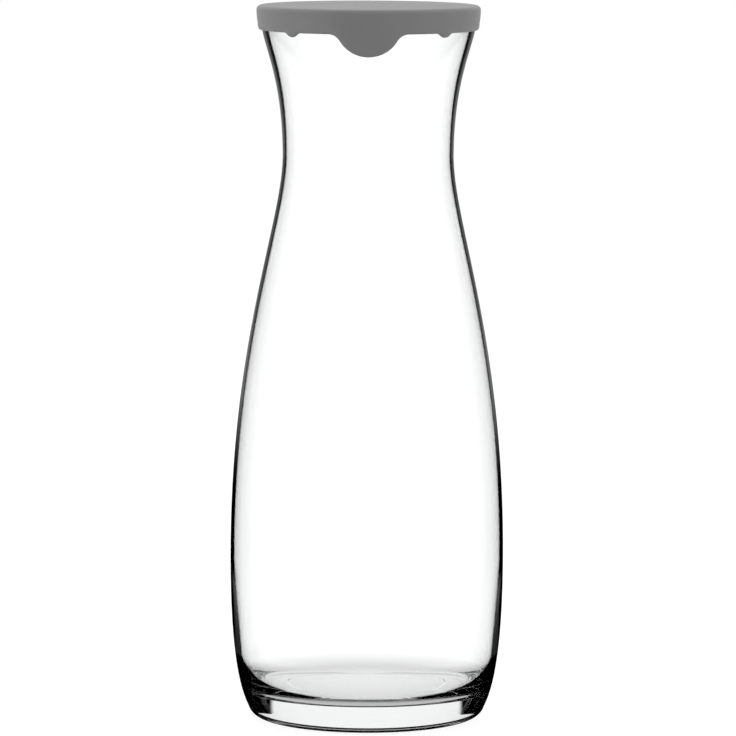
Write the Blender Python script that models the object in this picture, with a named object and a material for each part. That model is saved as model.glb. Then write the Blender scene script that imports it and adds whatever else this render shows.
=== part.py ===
"""Glass carafe with a press-on lid.

Two pieces: a thick-based blown glass body with a flared mouth, and a one-piece soft plastic lid.
The lid caps the mouth with an outer skirt and seals it with an inner plug. The skirt's lower edge
hangs down in one large pull tab at the front and four small drips.

Units are metres and +Z is up. The origin is the middle of the foot, on the surface that the carafe
stands on. The pull tab faces -Y.
"""

import math

import bmesh
import bpy
from mathutils import Matrix, Vector

# Glass body, outer wall: radii, and the heights from one to the next
FOOT_RADIUS = 0.0377
HEEL_ROUND = 0.0050
HEEL_LEAN = math.radians(21)
BELLY_RADIUS = 0.0490
FOOT_TO_BELLY = 0.0580
WAIST_RADIUS = 0.0305
BELLY_TO_WAIST = 0.1438
COLLAR_RADIUS = 0.0381
WAIST_TO_COLLAR = 0.0472
COLLAR_HEIGHT = 0.0037

# How far the wall keeps its direction beside each of these places, as a share of the section's height
HEEL_PULL = 0.060
LOWER_BELLY_PULL = 0.758
UPPER_BELLY_PULL = 0.545
LOWER_WAIST_PULL = 0.166
UPPER_WAIST_PULL = 0.604
COLLAR_PULL = 0.150

# Glass body, thicknesses and the inside of the base
HEEL_WALL = 0.0022
BELLY_WALL = 0.0013
WAIST_WALL = 0.0014
RIM_WALL = 0.0022
BASE_THICKNESS = 0.0102
CORNER_WIDTH = 0.0090
CORNER_RISE = 0.0135
CORNER_FULLNESS = 0.55
FOOT_RING_WIDTH = 0.0081
RECESS_DEPTH = 0.0005
RECESS_SLOPE = 0.0008

# Lid: plate, skirt outside the mouth and plug inside it
FIT_CLEARANCE = 0.0003
LID_PLATE = 0.0024
LID_EDGE_ROUND = 0.0016
SKIRT_WALL = 0.0015
SKIRT_TAPER = 0.00045
SKIRT_DEPTH = 0.0063
SKIRT_NOSE_HEIGHT = 0.0020
SKIRT_NOSE_FLAT = 0.0002
SKIRT_BAND = 0.0003
PLUG_WALL = 0.0013
PLUG_DEPTH = 0.0062
PLUG_LEAD_IN = 0.0008
SEAL_RIB_HEIGHT = 0.0010
SEAL_RIB_STAND = 0.0004

# Lid: shapes that hang from the skirt's edge, each with a round tip and hollow shoulders
TAB_DEPTH = 0.0079
TAB_RADIUS = 0.0120
TAB_SHOULDER = 0.0050
DRIP_DEPTH = 0.0015
DRIP_RADIUS = 0.0035
DRIP_SHOULDER = 0.0025
DRIP_ANGLE = math.radians(44)

# Facets
BODY_SEGMENTS = 48
HEEL_STEPS = 3
LOWER_WALL_STEPS = 5
UPPER_WALL_STEPS = 11
NECK_STEPS = 7
CORNER_STEPS = 5
ROUND_STEPS = 3
TAB_STEPS = 18
DRIP_STEPS = 8
LID_STEP = math.radians(6)
MERGE_DISTANCE = 0.00002

# Heights that follow from the driving sizes
BELLY_HEIGHT = FOOT_TO_BELLY
WAIST_HEIGHT = BELLY_HEIGHT + BELLY_TO_WAIST
COLLAR_BOTTOM = WAIST_HEIGHT + WAIST_TO_COLLAR
RIM_TOP = COLLAR_BOTTOM + COLLAR_HEIGHT
CORNER_TOP = BASE_THICKNESS + CORNER_RISE

UP = Vector((0.0, 0.0, 1.0))


def clear_scene():
    for obj in list(bpy.data.objects):
        bpy.data.objects.remove(obj)


def point(radius, height):
    """A point of a section, in the XZ plane."""
    return Vector((radius, 0.0, height))


def arc(centre, radius_x, radius_z, start, end):
    """Points along an elliptical arc about a centre, with both ends included."""
    turns = [start + (end - start) * i / ROUND_STEPS for i in range(ROUND_STEPS + 1)]
    return [centre + point(radius_x * math.cos(a), radius_z * math.sin(a)) for a in turns]


def along(curve, share):
    """The point at a share of the way along a curve, given by its ends and the pulls between them."""
    start, start_pull, end_pull, end = curve
    rest = 1 - share
    return (
        start * rest**3
        + start_pull * (3 * rest**2 * share)
        + end_pull * (3 * rest * share**2)
        + end * share**3
    )


def share_at_height(curve, height):
    """How far along a rising curve it reaches a height."""
    low, high = 0.0, 1.0
    for _ in range(40):
        middle = (low + high) / 2
        if along(curve, middle).z < height:
            low = middle
        else:
            high = middle
    return low


def walk(curve, first, last, steps):
    """Evenly spaced points from one share of a curve to another, with both ends included."""
    return [along(curve, first + (last - first) * i / steps) for i in range(steps + 1)]


def outer_wall():
    """The outer wall in two runs: beside the solid base, and beside the cavity up to the collar."""
    heel = point(
        FOOT_RADIUS + HEEL_ROUND * math.cos(HEEL_LEAN),
        HEEL_ROUND - HEEL_ROUND * math.sin(HEEL_LEAN),
    )
    belly = point(BELLY_RADIUS, BELLY_HEIGHT)
    waist = point(WAIST_RADIUS, WAIST_HEIGHT)
    collar = point(COLLAR_RADIUS, COLLAR_BOTTOM)
    lean = point(math.sin(HEEL_LEAN), math.cos(HEEL_LEAN))
    lower = (
        heel,
        heel + lean * HEEL_PULL * FOOT_TO_BELLY,
        belly - UP * LOWER_BELLY_PULL * FOOT_TO_BELLY,
        belly,
    )
    upper = (
        belly,
        belly + UP * UPPER_BELLY_PULL * BELLY_TO_WAIST,
        waist - UP * LOWER_WAIST_PULL * BELLY_TO_WAIST,
        waist,
    )
    neck = (
        waist,
        waist + UP * UPPER_WAIST_PULL * WAIST_TO_COLLAR,
        collar - UP * COLLAR_PULL * WAIST_TO_COLLAR,
        collar,
    )
    split = share_at_height(lower, CORNER_TOP)
    beside_base = walk(lower, 0.0, split, HEEL_STEPS)
    beside_cavity = (
        walk(lower, split, 1.0, LOWER_WALL_STEPS)[:-1]
        + walk(upper, 0.0, 1.0, UPPER_WALL_STEPS)[:-1]
        + walk(neck, 0.0, 1.0, NECK_STEPS)
    )
    return beside_base, beside_cavity


def wall_thickness(height):
    """The wall's thickness at a height, easing from each named thickness to the next."""
    marks = [
        (CORNER_TOP, HEEL_WALL),
        (BELLY_HEIGHT, BELLY_WALL),
        (WAIST_HEIGHT, WAIST_WALL),
        (COLLAR_BOTTOM, RIM_WALL),
    ]
    for (low, low_wall), (high, high_wall) in zip(marks, marks[1:]):
        if height <= high:
            share = max((height - low) / (high - low), 0.0)
            return low_wall + (high_wall - low_wall) * share**2 * (3 - 2 * share)
    return RIM_WALL


def cavity_corner(wall):
    """The rounded corner from the cavity's floor up to the foot of its wall."""
    top = wall[0]
    upward = (wall[1] - top).normalized()
    floor_edge = point(top.x - CORNER_WIDTH, BASE_THICKNESS)
    floor_pull = point(CORNER_WIDTH * CORNER_FULLNESS, 0.0)
    wall_pull = upward * CORNER_RISE * CORNER_FULLNESS
    return walk((floor_edge, floor_edge + floor_pull, top - wall_pull, top), 0.0, 1.0, CORNER_STEPS)


def underside():
    """The flat ring that the foot stands on and the shallow flat recess inside it."""
    ring_inner = FOOT_RADIUS - FOOT_RING_WIDTH
    return [
        point(FOOT_RADIUS, 0.0),
        point(ring_inner, 0.0),
        point(ring_inner - RECESS_SLOPE, RECESS_DEPTH),
        point(0.0, RECESS_DEPTH),
    ]


def glass_section():
    """The body's section: along the cavity's floor, up inside, over the rim, down outside, under."""
    beside_base, beside_cavity = outer_wall()
    inner = [point(p.x - wall_thickness(p.z), p.z) for p in beside_cavity]
    half_rim = RIM_WALL / 2
    rim_middle = point(COLLAR_RADIUS - half_rim, RIM_TOP - half_rim)
    rim_inside = arc(rim_middle, half_rim, half_rim, math.pi, math.pi / 2)
    rim_outside = arc(rim_middle, half_rim, half_rim, math.pi / 2, 0.0)
    heel_middle = point(FOOT_RADIUS, HEEL_ROUND)
    heel = arc(heel_middle, HEEL_ROUND, HEEL_ROUND, -HEEL_LEAN, -math.pi / 2)
    return (
        [point(0.0, BASE_THICKNESS)]
        + cavity_corner(inner)[:-1]
        + inner
        + rim_inside[:-1]
        + rim_outside
        + beside_cavity[:0:-1]
        + beside_base[:0:-1]
        + heel[:-1]
        + underside()
    )


def lid_section():
    """The lid's section, with heights from the glass rim: plate and skirt first, then the plug."""
    plate_under = FIT_CLEARANCE
    plate_top = plate_under + LID_PLATE
    skirt_inner = COLLAR_RADIUS + FIT_CLEARANCE
    skirt_outer = skirt_inner + SKIRT_WALL
    edge_outer = skirt_outer - SKIRT_TAPER
    edge = plate_under - SKIRT_DEPTH
    plug_outer = COLLAR_RADIUS - RIM_WALL - FIT_CLEARANCE - SEAL_RIB_STAND
    plug_inner = plug_outer - PLUG_WALL
    plug_tip = plate_under - PLUG_DEPTH

    shoulder = point(skirt_outer - LID_EDGE_ROUND, plate_top - LID_EDGE_ROUND)
    nose_width = edge_outer - skirt_inner - SKIRT_NOSE_FLAT
    nose = point(edge_outer - nose_width, edge + SKIRT_NOSE_HEIGHT)
    section = [point(0.0, plate_top)]
    section += arc(shoulder, LID_EDGE_ROUND, LID_EDGE_ROUND, math.pi / 2, 0.0)
    section.append(point(edge_outer, nose.z + SKIRT_BAND))
    section += arc(nose, nose_width, SKIRT_NOSE_HEIGHT, 0.0, -math.pi / 2)
    section += [point(skirt_inner, edge), point(skirt_inner, plate_under)]
    section.append(point(plug_outer, plate_under))
    for share in (0.25, 0.5):
        rib = plate_under - share * PLUG_DEPTH
        section.append(point(plug_outer, rib))
        section.append(point(plug_outer + SEAL_RIB_STAND, rib - SEAL_RIB_HEIGHT / 2))
        section.append(point(plug_outer, rib - SEAL_RIB_HEIGHT))
    section.append(point(plug_outer, plug_tip + PLUG_LEAD_IN))
    section.append(point(plug_outer - PLUG_LEAD_IN, plug_tip))
    section += [point(plug_inner, plug_tip), point(plug_inner, plate_under)]
    section.append(point(0.0, plate_under))
    return section


def half_width(depth, tip, shoulder):
    """Half the width of a hanging shape, out to where its shoulders run into the straight edge."""
    return math.sqrt((tip + shoulder) ** 2 - (tip + shoulder - depth) ** 2)


def hang(distance, depth, tip, shoulder):
    """How far a hanging shape reaches below the edge, at a distance along it from the shape's middle."""
    reach = half_width(depth, tip, shoulder)
    if distance >= reach:
        return 0.0
    if distance <= reach * tip / (tip + shoulder):
        return math.sqrt(tip**2 - distance**2) - (tip - depth)
    return shoulder - math.sqrt(shoulder**2 - (reach - distance) ** 2)


def skirt_drop(angle):
    """How far the skirt's edge hangs at an angle from the front. The four drips are alike."""
    skirt_inner = COLLAR_RADIUS + FIT_CLEARANCE
    to_tab = abs(angle)
    to_drip = min(abs(to_tab - DRIP_ANGLE), abs(to_tab - (math.pi - DRIP_ANGLE)))
    tab = hang(to_tab * skirt_inner, TAB_DEPTH, TAB_RADIUS, TAB_SHOULDER)
    drip = hang(to_drip * skirt_inner, DRIP_DEPTH, DRIP_RADIUS, DRIP_SHOULDER)
    return max(tab, drip)


def lid_arcs():
    """The turn of the lid from the tab's left shoulder: finely stepped across each hanging shape."""
    skirt_inner = COLLAR_RADIUS + FIT_CLEARANCE
    tab = 2 * half_width(TAB_DEPTH, TAB_RADIUS, TAB_SHOULDER) / skirt_inner
    drip = 2 * half_width(DRIP_DEPTH, DRIP_RADIUS, DRIP_SHOULDER) / skirt_inner
    beside_tab = DRIP_ANGLE - tab / 2 - drip / 2
    side = math.pi - 2 * DRIP_ANGLE - drip
    back = 2 * DRIP_ANGLE - drip

    def plain(angle):
        return angle, max(1, round(angle / LID_STEP))

    flank = [(drip, DRIP_STEPS), plain(side), (drip, DRIP_STEPS)]
    return [(tab, TAB_STEPS), plain(beside_tab)] + flank + [plain(back)] + flank + [plain(beside_tab)]


def turn(section, arcs, start):
    """A closed shape: a section turned once about Z through arcs, each an angle and its steps."""
    shape = bmesh.new()
    verts = [shape.verts.new(p) for p in section]
    edges = [shape.edges.new(pair) for pair in zip(verts, verts[1:])]
    bmesh.ops.rotate(shape, verts=verts, cent=(0, 0, 0), matrix=Matrix.Rotation(start, 3, "Z"))
    moving = verts + edges
    for angle, steps in arcs:
        turned = bmesh.ops.spin(shape, geom=moving, cent=(0, 0, 0), axis=UP, angle=angle, steps=steps)
        moving = turned["geom_last"]
    bmesh.ops.remove_doubles(shape, verts=shape.verts, dist=MERGE_DISTANCE)
    bmesh.ops.recalc_face_normals(shape, faces=shape.faces)
    return shape


def add_object(name, shape, material):
    """A named object that holds a shape, shaded smooth except at its sharp corners."""
    mesh = bpy.data.meshes.new(name)
    shape.to_mesh(mesh)
    shape.free()
    mesh.shade_smooth()
    mesh.set_sharp_from_angle(angle=math.radians(40))
    mesh.materials.append(material)
    obj = bpy.data.objects.new(name, mesh)
    bpy.context.scene.collection.objects.link(obj)
    return obj


def make_material(name, colour, roughness):
    material = bpy.data.materials.new(name)
    material.use_nodes = True
    shader = material.node_tree.nodes["Principled BSDF"]
    shader.inputs["Base Color"].default_value = (*colour, 1.0)
    shader.inputs["Roughness"].default_value = roughness
    shader.inputs["Metallic"].default_value = 0.0
    return material, shader


def build_glass_body():
    glass, shader = make_material("clear_glass", (0.97, 0.98, 0.975), 0.02)
    shader.inputs["Transmission Weight"].default_value = 1.0
    shader.inputs["IOR"].default_value = 1.52
    shape = turn(glass_section(), [(2 * math.pi, BODY_SEGMENTS)], 0.0)
    return add_object("glass_body", shape, glass)


def build_lid():
    """The lid: its section turned once, then the skirt's edge let down into the tab and the drips."""
    plastic, _ = make_material("grey_plastic", (0.21, 0.21, 0.21), 0.55)
    arcs = lid_arcs()
    front = -math.pi / 2
    shape = turn(lid_section(), arcs, front - arcs[0][0] / 2)
    nose_top = FIT_CLEARANCE - SKIRT_DEPTH + SKIRT_NOSE_HEIGHT
    for vert in shape.verts:
        on_skirt = vert.co.xy.length > COLLAR_RADIUS
        if on_skirt and vert.co.z < nose_top + SKIRT_BAND / 2:
            angle = vert.co.xy.angle_signed(Vector((0.0, -1.0)))
            vert.co.z -= skirt_drop(angle)
    return add_object("lid", shape, plastic)


def main():
    clear_scene()
    build_glass_body()
    lid = build_lid()
    lid.location.z = RIM_TOP


main()
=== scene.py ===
"""The finished look of the glass carafe: clear glass, a matte grey lid and a plain white studio.

Both pieces repeat the part's own sections in finer steps, so that the glass bends light smoothly.
Units are metres and +Z is up. The pull tab faces -Y, towards the camera.
"""

import math

import bpy
from mathutils import Matrix, Vector


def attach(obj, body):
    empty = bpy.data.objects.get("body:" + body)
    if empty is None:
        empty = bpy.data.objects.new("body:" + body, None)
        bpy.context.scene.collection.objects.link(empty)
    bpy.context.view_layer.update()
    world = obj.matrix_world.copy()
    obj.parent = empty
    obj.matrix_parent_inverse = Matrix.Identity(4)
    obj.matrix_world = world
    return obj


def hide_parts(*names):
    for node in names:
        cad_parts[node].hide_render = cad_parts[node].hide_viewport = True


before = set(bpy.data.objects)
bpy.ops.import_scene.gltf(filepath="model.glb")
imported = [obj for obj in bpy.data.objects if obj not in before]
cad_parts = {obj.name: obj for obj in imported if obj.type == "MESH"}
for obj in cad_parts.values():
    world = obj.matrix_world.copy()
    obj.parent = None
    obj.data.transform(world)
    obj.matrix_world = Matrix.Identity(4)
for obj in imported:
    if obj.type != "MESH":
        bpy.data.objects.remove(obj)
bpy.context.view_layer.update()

# Glass body, outer wall: radii, and the heights from one to the next
FOOT_RADIUS = 0.0377
HEEL_ROUND = 0.0050
HEEL_LEAN = math.radians(21)
BELLY_RADIUS = 0.0490
FOOT_TO_BELLY = 0.0580
WAIST_RADIUS = 0.0305
BELLY_TO_WAIST = 0.1438
COLLAR_RADIUS = 0.0381
WAIST_TO_COLLAR = 0.0472
COLLAR_HEIGHT = 0.0037

# How far the wall keeps its direction beside each of these places, as a share of the section's height
HEEL_PULL = 0.060
LOWER_BELLY_PULL = 0.758
UPPER_BELLY_PULL = 0.545
LOWER_WAIST_PULL = 0.166
UPPER_WAIST_PULL = 0.604
COLLAR_PULL = 0.150

# Glass body, thicknesses and the inside of the base
HEEL_WALL = 0.0022
BELLY_WALL = 0.0013
WAIST_WALL = 0.0014
RIM_WALL = 0.0022
BASE_THICKNESS = 0.0102
CORNER_WIDTH = 0.0090
CORNER_RISE = 0.0135
CORNER_FULLNESS = 0.55
FOOT_RING_WIDTH = 0.0081
RECESS_DEPTH = 0.0005
RECESS_SLOPE = 0.0008

# Lid: plate, skirt outside the mouth and plug inside it
FIT_CLEARANCE = 0.0003
LID_PLATE = 0.0024
LID_EDGE_ROUND = 0.0016
SKIRT_WALL = 0.0015
SKIRT_TAPER = 0.00045
SKIRT_DEPTH = 0.0063
SKIRT_NOSE_HEIGHT = 0.0020
SKIRT_NOSE_FLAT = 0.0002
SKIRT_BAND = 0.0003
PLUG_WALL = 0.0013
PLUG_DEPTH = 0.0062
PLUG_LEAD_IN = 0.0008
SEAL_RIB_HEIGHT = 0.0010
SEAL_RIB_STAND = 0.0004
SEAL_RIB_PLACES = (0.25, 0.5)  # from the plate, as shares of the plug's depth

# Lid: shapes that hang from the skirt's edge, each with a round tip and hollow shoulders
TAB_DEPTH = 0.0079
TAB_RADIUS = 0.0120
TAB_SHOULDER = 0.0050
DRIP_DEPTH = 0.0015
DRIP_RADIUS = 0.0035
DRIP_SHOULDER = 0.0025
DRIP_ANGLE = math.radians(44)

# Fine steps, and the distances from a flat's edge at which a ring of points keeps the flat shaded flat
BODY_SEGMENTS = 320
LID_SEGMENTS = 480
HEEL_STEPS = 12
LOWER_WALL_STEPS = 20
UPPER_WALL_STEPS = 44
NECK_STEPS = 28
CORNER_STEPS = 20
ROUND_STEPS = 12
FLAT_EDGES = (0.0002, 0.002)
SHARP_EDGE = math.radians(50)
HEIGHT_HALVINGS = 40

# Heights that follow from the driving sizes
BELLY_HEIGHT = FOOT_TO_BELLY
WAIST_HEIGHT = BELLY_HEIGHT + BELLY_TO_WAIST
COLLAR_BOTTOM = WAIST_HEIGHT + WAIST_TO_COLLAR
RIM_TOP = COLLAR_BOTTOM + COLLAR_HEIGHT
CORNER_TOP = BASE_THICKNESS + CORNER_RISE

# Glass: depths of relief in metres, and patterns in cells to the metre
GLASS_IOR = 1.52
RIPPLE_CELLS = 28.0
RIPPLE_DEPTH = 0.00002
TINT_CELLS = 35.0
TINT = (0.985, 0.995, 0.990, 1.0)
INNER_TINT = (0.90, 0.97, 0.94, 1.0)
INNER_TINT_DENSITY = 0.6

# Plastic, in the same units
PLASTIC_IOR = 1.45
PLASTIC_DARK = (0.205, 0.206, 0.207, 1.0)
PLASTIC_LIGHT = (0.235, 0.235, 0.235, 1.0)
PLASTIC_ROUGHNESS = (0.50, 0.60)
CLOUD_CELLS = 60.0
CLOUD_RANGE = (0.3, 0.7)
GRAIN_CELLS = 2600.0
GRAIN_DEPTH = 0.00006
GRAIN_STRENGTH = 0.25

# Light on the way through the glass: a path's crossings of its surface, and the limits on its bounces
BASE_CROSSINGS = 2
WALLS_CROSSINGS = 4
LIGHT_TURNS = 24
LIGHT_REFLECTIONS = 12

# Strengths of light in the studio, where 1 is white
THROUGH_GLASS = 1.24
# Painted shade: the floor seen through both walls is darker under the carafe
PAINTED_SHADE_UNDER_GLASS = 0.72
# Painted light: dim glows on the floor seen through the base, where the base stands and close by
BASE_GLOW = 0.5
CLOSE_GLOW = 0.3
FLOOR_GLOW = 0.82
AMBIENT = 0.6
MIRRORED_BACKDROP = (0.22, 0.04)
MIRRORED_FLOOR = (0.34, 0.04)

# Angles between which light eases: to either side of straight behind the carafe, and over the horizon
PANEL_SECTOR = (math.radians(37), math.radians(41))
AHEAD_SECTOR = (math.radians(60), math.radians(90))
MIRRORED_SECTOR = (math.radians(20), math.radians(36))
ABOVE_FLOOR = (math.radians(1), math.radians(4))

# Distances from the carafe's middle between which the floor's light eases
BASE_EDGE = (0.036, 0.046)
PAINTED_SHADE_EDGE = (0.04, 0.09)
NEAR_EDGE = (0.06, 0.12)
AWAY_EDGE = (0.10, 0.24)
CLOSE_EDGE = (0.14, 0.30)
FAR_EDGE = (0.7, 1.6)

# Studio: floor, lamps (name, place, size and power) and camera
WHITE = (1.0, 1.0, 1.0, 1.0)
FLOOR_GREY = (0.3, 0.3, 0.3, 1.0)
FLOOR_RADIUS = 3.0
FLOOR_CORNERS = 128
FLOOR_GAP = 0.0002
LAMPS = (
    ("overhead_softbox", (0.0, 0.6, 1.4), 1.0, 9.0),
    ("left_softbox", (-1.3, -0.2, 0.6), 0.8, 5.0),
    ("right_softbox", (1.3, -0.2, 0.6), 0.8, 4.0),
)
CAMERA_PLACE = (0.0002, -1.8659, 0.3359)
CAMERA_PITCH = math.radians(6.4316)
CAMERA_ROLL = math.radians(0.2)
CAMERA_LENS = 256.4
CAMERA_SENSOR = 36.0

UP = Vector((0.0, 1.0))


def point(radius, height):
    """A point of a section."""
    return Vector((radius, height))


def ease(share):
    """A smooth step from 0 to 1."""
    return share**2 * (3 - 2 * share)


def arc(centre, radius_x, radius_z, start, end):
    """Points along an elliptical arc about a centre, with both ends included."""
    turns = [start + (end - start) * i / ROUND_STEPS for i in range(ROUND_STEPS + 1)]
    return [centre + point(radius_x * math.cos(a), radius_z * math.sin(a)) for a in turns]


def flat(start, end):
    """Points along a flat run between two points, drawn close together beside both ends."""
    run = end - start
    along_run = run.normalized()
    near = [start + along_run * edge for edge in FLAT_EDGES if edge < run.length / 2]
    far = [end - along_run * edge for edge in reversed(FLAT_EDGES) if edge < run.length / 2]
    return [start, *near, *far, end]


def along(curve, share):
    """The point at a share of the way along a curve, given by its ends and the pulls between them."""
    start, start_pull, end_pull, end = curve
    rest = 1 - share
    return (
        start * rest**3
        + start_pull * (3 * rest**2 * share)
        + end_pull * (3 * rest * share**2)
        + end * share**3
    )


def share_at_height(curve, height):
    """How far along a rising curve it reaches a height."""
    low, high = 0.0, 1.0
    for _ in range(HEIGHT_HALVINGS):
        middle = (low + high) / 2
        if along(curve, middle).y < height:
            low = middle
        else:
            high = middle
    return low


def walk(curve, first, last, steps):
    """Evenly spaced points from one share of a curve to another, with both ends included."""
    return [along(curve, first + (last - first) * i / steps) for i in range(steps + 1)]


def outer_wall():
    """The outer wall in two runs: beside the solid base, and beside the cavity up to the collar."""
    heel = point(
        FOOT_RADIUS + HEEL_ROUND * math.cos(HEEL_LEAN),
        HEEL_ROUND - HEEL_ROUND * math.sin(HEEL_LEAN),
    )
    belly = point(BELLY_RADIUS, BELLY_HEIGHT)
    waist = point(WAIST_RADIUS, WAIST_HEIGHT)
    collar = point(COLLAR_RADIUS, COLLAR_BOTTOM)
    lean = point(math.sin(HEEL_LEAN), math.cos(HEEL_LEAN))
    lower = (
        heel,
        heel + lean * HEEL_PULL * FOOT_TO_BELLY,
        belly - UP * LOWER_BELLY_PULL * FOOT_TO_BELLY,
        belly,
    )
    upper = (
        belly,
        belly + UP * UPPER_BELLY_PULL * BELLY_TO_WAIST,
        waist - UP * LOWER_WAIST_PULL * BELLY_TO_WAIST,
        waist,
    )
    neck = (
        waist,
        waist + UP * UPPER_WAIST_PULL * WAIST_TO_COLLAR,
        collar - UP * COLLAR_PULL * WAIST_TO_COLLAR,
        collar,
    )
    split = share_at_height(lower, CORNER_TOP)
    beside_base = walk(lower, 0.0, split, HEEL_STEPS)
    beside_cavity = (
        walk(lower, split, 1.0, LOWER_WALL_STEPS)[:-1]
        + walk(upper, 0.0, 1.0, UPPER_WALL_STEPS)[:-1]
        + walk(neck, 0.0, 1.0, NECK_STEPS)
    )
    return beside_base, beside_cavity


def wall_thickness(height):
    """The wall's thickness at a height, easing from each named thickness to the next."""
    marks = [
        (CORNER_TOP, HEEL_WALL),
        (BELLY_HEIGHT, BELLY_WALL),
        (WAIST_HEIGHT, WAIST_WALL),
        (COLLAR_BOTTOM, RIM_WALL),
    ]
    for (low, low_wall), (high, high_wall) in zip(marks, marks[1:]):
        if height <= high:
            share = max((height - low) / (high - low), 0.0)
            return low_wall + (high_wall - low_wall) * ease(share)
    return RIM_WALL


def cavity_corner(wall):
    """The rounded corner from the cavity's floor up to the foot of its wall."""
    top = wall[0]
    upward = (wall[1] - top).normalized()
    floor_edge = point(top.x - CORNER_WIDTH, BASE_THICKNESS)
    floor_pull = point(CORNER_WIDTH * CORNER_FULLNESS, 0.0)
    wall_pull = upward * CORNER_RISE * CORNER_FULLNESS
    return walk((floor_edge, floor_edge + floor_pull, top - wall_pull, top), 0.0, 1.0, CORNER_STEPS)


def underside():
    """The flat ring that the foot stands on, the slope inside it and the shallow flat recess."""
    ring_inner = FOOT_RADIUS - FOOT_RING_WIDTH
    shares = [i / ROUND_STEPS for i in range(ROUND_STEPS + 1)]
    slope = [point(ring_inner - RECESS_SLOPE * s, RECESS_DEPTH * ease(s)) for s in shares]
    ring = flat(point(FOOT_RADIUS, 0.0), slope[0])
    recess = flat(slope[-1], point(0.0, RECESS_DEPTH))
    return ring[:-1] + slope[:-1] + recess


def glass_section():
    """The body's section: along the cavity's floor, up inside, over the rim, down outside, under."""
    beside_base, beside_cavity = outer_wall()
    inner = [point(p.x - wall_thickness(p.y), p.y) for p in beside_cavity]
    corner = cavity_corner(inner)
    half_rim = RIM_WALL / 2
    rim_middle = point(COLLAR_RADIUS - half_rim, RIM_TOP - half_rim)
    rim_inside = arc(rim_middle, half_rim, half_rim, math.pi, math.pi / 2)
    rim_outside = arc(rim_middle, half_rim, half_rim, math.pi / 2, 0.0)
    heel_middle = point(FOOT_RADIUS, HEEL_ROUND)
    heel = arc(heel_middle, HEEL_ROUND, HEEL_ROUND, -HEEL_LEAN, -math.pi / 2)
    return (
        flat(point(0.0, BASE_THICKNESS), corner[0])[:-1]
        + corner[:-1]
        + inner
        + rim_inside[:-1]
        + rim_outside
        + beside_cavity[:0:-1]
        + beside_base[:0:-1]
        + heel[:-1]
        + underside()
    )


def lid_section():
    """The lid's section, with heights from the glass rim: plate and skirt first, then the plug."""
    plate_under = FIT_CLEARANCE
    plate_top = plate_under + LID_PLATE
    skirt_inner = COLLAR_RADIUS + FIT_CLEARANCE
    skirt_outer = skirt_inner + SKIRT_WALL
    edge_outer = skirt_outer - SKIRT_TAPER
    edge = plate_under - SKIRT_DEPTH
    plug_outer = COLLAR_RADIUS - RIM_WALL - FIT_CLEARANCE - SEAL_RIB_STAND
    plug_inner = plug_outer - PLUG_WALL
    plug_tip = plate_under - PLUG_DEPTH

    shoulder = point(skirt_outer - LID_EDGE_ROUND, plate_top - LID_EDGE_ROUND)
    rounded = arc(shoulder, LID_EDGE_ROUND, LID_EDGE_ROUND, math.pi / 2, 0.0)
    nose_width = edge_outer - skirt_inner - SKIRT_NOSE_FLAT
    nose = point(edge_outer - nose_width, edge + SKIRT_NOSE_HEIGHT)
    band = point(edge_outer, nose.y + SKIRT_BAND)
    side_top = rounded[-1]
    side = (side_top, (side_top + point(skirt_outer, band.y)) / 2, band, band)
    section = flat(point(0.0, plate_top), rounded[0])[:-1]
    section += rounded[:-1]
    section += walk(side, 0.0, 1.0, ROUND_STEPS)
    section += arc(nose, nose_width, SKIRT_NOSE_HEIGHT, 0.0, -math.pi / 2)
    section += [point(skirt_inner, edge), point(skirt_inner, plate_under)]
    section.append(point(plug_outer, plate_under))
    for share in SEAL_RIB_PLACES:
        rib = point(plug_outer, plate_under - share * PLUG_DEPTH - SEAL_RIB_HEIGHT / 2)
        section += arc(rib, SEAL_RIB_STAND, SEAL_RIB_HEIGHT / 2, math.pi / 2, -math.pi / 2)
    section.append(point(plug_outer, plug_tip + PLUG_LEAD_IN))
    section.append(point(plug_outer - PLUG_LEAD_IN, plug_tip))
    section += [point(plug_inner, plug_tip), point(plug_inner, plate_under)]
    section.append(point(0.0, plate_under))
    return section


def hang(distance, depth, tip, shoulder):
    """How far a hanging shape reaches below the edge, at a distance along it from its middle."""
    reach = math.sqrt((tip + shoulder) ** 2 - (tip + shoulder - depth) ** 2)
    if distance >= reach:
        return 0.0
    if distance <= reach * tip / (tip + shoulder):
        return math.sqrt(tip**2 - distance**2) - (tip - depth)
    return shoulder - math.sqrt(shoulder**2 - (reach - distance) ** 2)


def skirt_drop(place, angle):
    """How far a point of the lid's section hangs lower, at an angle from the front."""
    nose_top = FIT_CLEARANCE - SKIRT_DEPTH + SKIRT_NOSE_HEIGHT
    if place.x < COLLAR_RADIUS or place.y > nose_top + SKIRT_BAND / 2:
        return 0.0
    skirt_inner = COLLAR_RADIUS + FIT_CLEARANCE
    to_tab = abs(angle)
    to_drip = min(abs(to_tab - DRIP_ANGLE), abs(to_tab - (math.pi - DRIP_ANGLE)))
    tab = hang(to_tab * skirt_inner, TAB_DEPTH, TAB_RADIUS, TAB_SHOULDER)
    drip = hang(to_drip * skirt_inner, DRIP_DEPTH, DRIP_RADIUS, DRIP_SHOULDER)
    return max(tab, drip)


def no_drop(place, angle):
    """For a section that is the same all round."""
    return 0.0


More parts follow.
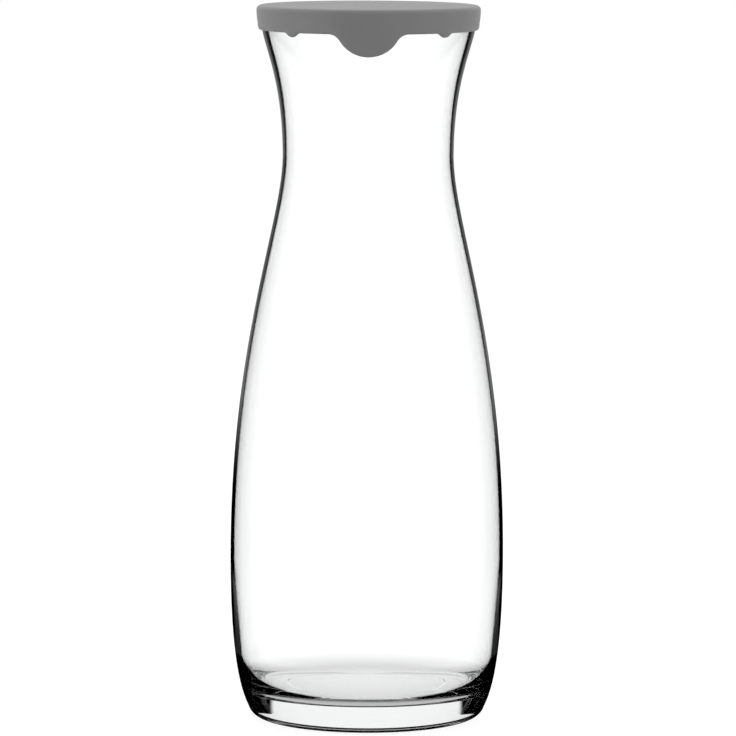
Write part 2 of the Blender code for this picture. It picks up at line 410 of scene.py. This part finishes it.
def turn(name, section, segments, drop=no_drop):
    """An object turned about Z from a section. drop lowers a point, at an angle from the front."""
    places = []
    rings = []
    for place in section:
        if place.x == 0:
            rings.append([len(places)] * segments)
            places.append((0.0, 0.0, place.y))
            continue
        rings.append(range(len(places), len(places) + segments))
        for i in range(segments):
            angle = 2 * math.pi * i / segments - math.pi
            height = place.y - drop(place, angle)
            places.append((place.x * math.sin(angle), -place.x * math.cos(angle), height))
    faces = []
    for ring, below in zip(rings, rings[1:]):
        for i in range(segments):
            j = (i + 1) % segments
            faces.append(list(dict.fromkeys((ring[i], below[i], below[j], ring[j]))))
    mesh = bpy.data.meshes.new(name)
    mesh.from_pydata(places, [], faces)
    mesh.shade_smooth()
    mesh.set_sharp_from_angle(angle=SHARP_EDGE)
    obj = bpy.data.objects.new(name, mesh)
    bpy.context.scene.collection.objects.link(obj)
    return obj


class Graph:
    """Short ways to add nodes to one node tree."""

    def __init__(self, owner):
        owner.use_nodes = True
        self.tree = owner.node_tree
        self.tree.nodes.clear()

    def feed(self, socket, value):
        """Links a socket to another, or sets its value."""
        if isinstance(value, bpy.types.NodeSocket):
            self.tree.links.new(value, socket)
        else:
            socket.default_value = value

    def node(self, kind, inputs=None, **settings):
        """A new node, with its inputs by name or number."""
        node = self.tree.nodes.new("ShaderNode" + kind)
        for name, value in settings.items():
            setattr(node, name, value)
        for name, value in (inputs or {}).items():
            self.feed(node.inputs[name], value)
        return node

    def math(self, operation, *values):
        """The result of a Math node."""
        node = self.node("Math", operation=operation)
        for socket, value in zip(node.inputs, values):
            self.feed(socket, value)
        return node.outputs[0]

    def most(self, *values):
        """The greatest of several values."""
        greatest = values[0]
        for value in values[1:]:
            greatest = self.math("MAXIMUM", greatest, value)
        return greatest

    def both(self, *values):
        """The product of several values, which is 1 only where each is 1."""
        product = values[0]
        for value in values[1:]:
            product = self.math("MULTIPLY", product, value)
        return product

    def slide(self, value, low, high, at_low, at_high):
        """A value eased from at_low to at_high while another goes from low to high."""
        inputs = {
            "Value": value,
            "From Min": low,
            "From Max": high,
            "To Min": at_low,
            "To Max": at_high,
        }
        return self.node("MapRange", inputs, interpolation_type="SMOOTHSTEP").outputs["Result"]

    def noise(self, cells, detail):
        """Noise fixed to the object, with so many cells to the metre."""
        place = self.node("TexCoord").outputs["Object"]
        inputs = {"Vector": place, "Scale": cells, "Detail": detail}
        return self.node("TexNoise", inputs).outputs["Fac"]


class LightPaths:
    """Tests of how light reached the studio, each 1 where it holds and 0 elsewhere.

    Light takes four crossings through both walls of the carafe. It takes two through its solid base,
    and two through one wall, seen over the rim of the open mouth. Each turn is a reflection inside.
    """

    def __init__(self, graph):
        path = graph.node("LightPath").outputs
        crossings = path["Transmission Depth"]

        def turned(crossed, turns):
            return graph.math("LESS_THAN", path["Ray Depth"], crossed + turns + 0.5)

        self.seen = path["Is Camera Ray"]
        self.diffuse = path["Is Diffuse Ray"]
        self.soft_gloss = graph.math("SUBTRACT", path["Is Glossy Ray"], path["Is Singular Ray"])
        outside = graph.math("LESS_THAN", crossings, 0.5)
        self.mirrored = graph.both(path["Is Singular Ray"], outside)
        self.through_walls = graph.math("GREATER_THAN", crossings, WALLS_CROSSINGS - 0.5)
        self.walls_turned_once = turned(WALLS_CROSSINGS, 1)
        self.through_base = graph.math("COMPARE", crossings, BASE_CROSSINGS, 0.5)
        self.straight = turned(BASE_CROSSINGS, 0)
        self.turned_once = turned(BASE_CROSSINGS, 1)
        self.turned_twice = turned(BASE_CROSSINGS, 2)


def glass_material():
    """Clear polished glass: faint ripples, a trace of uneven tint and a hint of green in its depth."""
    material = bpy.data.materials.new("clear_glass_look")
    graph = Graph(material)
    ripples = graph.noise(RIPPLE_CELLS, detail=1.0)
    bump = graph.node("Bump", {"Height": ripples, "Distance": RIPPLE_DEPTH})
    tint = graph.node("ValToRGB", {"Fac": graph.noise(TINT_CELLS, detail=3.0)})
    tint.color_ramp.elements[0].color = TINT
    tint.color_ramp.elements[1].color = WHITE
    inputs = {
        "Base Color": tint.outputs["Color"],
        "Roughness": 0.0,
        "IOR": GLASS_IOR,
        "Transmission Weight": 1.0,
        "Normal": bump.outputs["Normal"],
    }
    shader = graph.node("BsdfPrincipled", inputs)
    depth = graph.node("VolumeAbsorption", {"Color": INNER_TINT, "Density": INNER_TINT_DENSITY})
    shown = {"Surface": shader.outputs["BSDF"], "Volume": depth.outputs["Volume"]}
    graph.node("OutputMaterial", shown)
    return material


def plastic_material():
    """Soft matte plastic: an even mid grey with a fine moulded grain and slight clouding."""
    material = bpy.data.materials.new("grey_plastic_look")
    graph = Graph(material)
    clouds = graph.noise(CLOUD_CELLS, detail=3.0)
    grain = graph.noise(GRAIN_CELLS, detail=2.0)
    shade = graph.node("ValToRGB", {"Fac": clouds})
    for element, place, colour in zip(
        shade.color_ramp.elements, CLOUD_RANGE, (PLASTIC_DARK, PLASTIC_LIGHT)
    ):
        element.position = place
        element.color = colour
    relief = {"Height": grain, "Strength": GRAIN_STRENGTH, "Distance": GRAIN_DEPTH}
    bump = graph.node("Bump", relief)
    inputs = {
        "Base Color": shade.outputs["Color"],
        "Roughness": graph.slide(clouds, *CLOUD_RANGE, *PLASTIC_ROUGHNESS),
        "IOR": PLASTIC_IOR,
        "Normal": bump.outputs["Normal"],
    }
    shader = graph.node("BsdfPrincipled", inputs)
    graph.node("OutputMaterial", {"Surface": shader.outputs["BSDF"]})
    return material


def studio_world():
    """A white backdrop seen directly and through the glass, in a room dark for reflections in it.

    The backdrop shows through both walls straight or turned once inside the glass, and turned more
    from the half ahead of the camera. Through one wall and through the base it shows straight, turned
    once from above the floor, and turned twice from a panel ahead. The glass's edges mirror a dim
    strip of it, and the dark rest draws their outline. Ambient light reaches all else.
    """
    world = bpy.data.worlds.new("studio")
    bpy.context.scene.world = world
    graph = Graph(world)
    light = LightPaths(graph)
    direction = graph.node("TexCoord").outputs["Generated"]
    x, y, z = graph.node("SeparateXYZ", {"Vector": direction}).outputs
    aside = graph.math("ABSOLUTE", graph.math("ARCTAN2", x, y))
    ahead = graph.slide(aside, *AHEAD_SECTOR, 1.0, 0.0)
    panel = graph.slide(aside, *PANEL_SECTOR, 1.0, 0.0)
    above = graph.slide(graph.math("ARCSINE", z), *ABOVE_FLOOR, 0.0, 1.0)
    turned = graph.most(light.turned_once, graph.both(light.turned_twice, panel))
    strip = graph.slide(aside, *MIRRORED_SECTOR, *MIRRORED_BACKDROP)
    strength = graph.most(
        light.seen,
        graph.both(light.through_walls, graph.most(light.walls_turned_once, ahead), THROUGH_GLASS),
        graph.both(light.through_base, graph.most(light.straight, graph.both(above, turned))),
        graph.both(light.mirrored, strip),
        graph.both(light.diffuse, AMBIENT),
        light.soft_gloss,
    )
    background = graph.node("Background", {"Color": WHITE, "Strength": strength})
    graph.node("OutputWorld", {"Surface": background.outputs["Background"]})


def floor_material():
    """A white floor that keeps a soft shadow, grows darker under the glass and is clear from below.

    Through both walls, its darkening under the glass is painted shade. Through one wall and through
    the base it shows straight from away, a dim painted glow close by when turned once, and a painted
    glow where the base stands when turned twice. Its far part is what the glass's edges mirror.
    """
    material = bpy.data.materials.new("studio_floor")
    graph = Graph(material)
    light = LightPaths(graph)
    geometry = graph.node("NewGeometry").outputs
    place = {"Vector": geometry["Position"]}
    from_middle = graph.node("VectorMath", place, operation="LENGTH").outputs["Value"]
    x, y, _ = graph.node("SeparateXYZ", place).outputs
    aside = graph.math("ABSOLUTE", graph.math("ARCTAN2", x, y))
    ahead = graph.slide(aside, *AHEAD_SECTOR, 1.0, 0.0)
    near = graph.slide(from_middle, *NEAR_EDGE, 1.0, 0.0)
    # Painted shade on the floor under the carafe, seen through both walls
    under = graph.slide(from_middle, *PAINTED_SHADE_EDGE, PAINTED_SHADE_UNDER_GLASS, THROUGH_GLASS)
    away = graph.slide(from_middle, *AWAY_EDGE, 0.0, 1.0)
    # Painted light: a dim glow on the floor close by, seen turned once through the base
    close = graph.slide(from_middle, *CLOSE_EDGE, CLOSE_GLOW, 0.0)
    straight_or_close = graph.most(light.straight, graph.both(light.turned_once, close))
    # Painted light: a dim glow on the floor where the base stands, seen turned twice through it
    base_glow = graph.slide(from_middle, *BASE_EDGE, BASE_GLOW, 0.0)
    far = graph.slide(from_middle, *FAR_EDGE, 0.0, 1.0)
    strip = graph.slide(aside, *MIRRORED_SECTOR, *MIRRORED_FLOOR)
    strength = graph.most(
        graph.both(light.through_walls, graph.most(light.walls_turned_once, ahead, near), under),
        graph.both(light.through_base, light.turned_twice, base_glow),
        graph.both(light.through_base, away, straight_or_close),
        graph.both(light.mirrored, far, strip),
        graph.both(light.diffuse, AMBIENT),
        light.soft_gloss,
    )
    through_glass = graph.node("Emission", {"Strength": strength}).outputs["Emission"]
    paper = graph.node("BsdfDiffuse", {"Color": FLOOR_GREY}).outputs["BSDF"]
    glow = graph.node("Emission", {"Strength": FLOOR_GLOW}).outputs["Emission"]
    white = graph.node("AddShader", {0: paper, 1: glow}).outputs["Shader"]
    top = graph.node("MixShader", {0: light.seen, 1: through_glass, 2: white}).outputs["Shader"]
    clear = graph.node("BsdfTransparent").outputs["BSDF"]
    sides = graph.node("MixShader", {0: geometry["Backfacing"], 1: top, 2: clear})
    graph.node("OutputMaterial", {"Surface": sides.outputs["Shader"]})
    return material


def add_floor():
    mesh = bpy.data.meshes.new("studio_floor")
    turns = [2 * math.pi * i / FLOOR_CORNERS for i in range(FLOOR_CORNERS)]
    corners = [(FLOOR_RADIUS * math.cos(a), FLOOR_RADIUS * math.sin(a), -FLOOR_GAP) for a in turns]
    mesh.from_pydata(corners, [], [range(FLOOR_CORNERS)])
    mesh.materials.append(floor_material())
    floor = bpy.data.objects.new("studio_floor", mesh)
    bpy.context.scene.collection.objects.link(floor)


def add_lamp(name, place, size, power):
    """A soft square lamp that faces the lid. The glass shows no reflection of it."""
    light = bpy.data.lights.new(name, "AREA")
    light.shape = "SQUARE"
    light.size = size
    light.energy = power
    lamp = bpy.data.objects.new(name, light)
    lamp.location = place
    target = Vector((0.0, 0.0, RIM_TOP))
    lamp.rotation_euler = (target - lamp.location).to_track_quat("-Z", "Y").to_euler()
    lamp.visible_glossy = False
    lamp.visible_transmission = False
    bpy.context.scene.collection.objects.link(lamp)


def add_camera():
    data = bpy.data.cameras.new("camera")
    data.sensor_width = CAMERA_SENSOR
    data.lens = CAMERA_LENS
    camera = bpy.data.objects.new("camera", data)
    pitch = Matrix.Rotation(math.pi / 2 - CAMERA_PITCH, 4, "X")
    roll = Matrix.Rotation(CAMERA_ROLL, 4, "Z")
    camera.matrix_world = Matrix.Translation(CAMERA_PLACE) @ pitch @ roll
    bpy.context.scene.collection.objects.link(camera)
    bpy.context.scene.camera = camera


def add_piece(obj, material, body, node):
    """A finished piece that stands for a CAD node and moves with its body."""
    obj.data.materials.append(material)
    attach(obj, body)
    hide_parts(node)


def main():
    glass = turn("carafe_glass", glass_section(), BODY_SEGMENTS)
    add_piece(glass, glass_material(), "carafe", "glass_body")
    lid = turn("press_on_lid", lid_section(), LID_SEGMENTS, skirt_drop)
    lid.location.z = RIM_TOP
    add_piece(lid, plastic_material(), "lid", "lid")

    studio_world()
    add_floor()
    for lamp in LAMPS:
        add_lamp(*lamp)
    add_camera()
    scene = bpy.context.scene
    scene.view_settings.view_transform = "Standard"
    scene.cycles.max_bounces = LIGHT_TURNS
    scene.cycles.transmission_bounces = LIGHT_TURNS
    scene.cycles.glossy_bounces = LIGHT_REFLECTIONS


main()
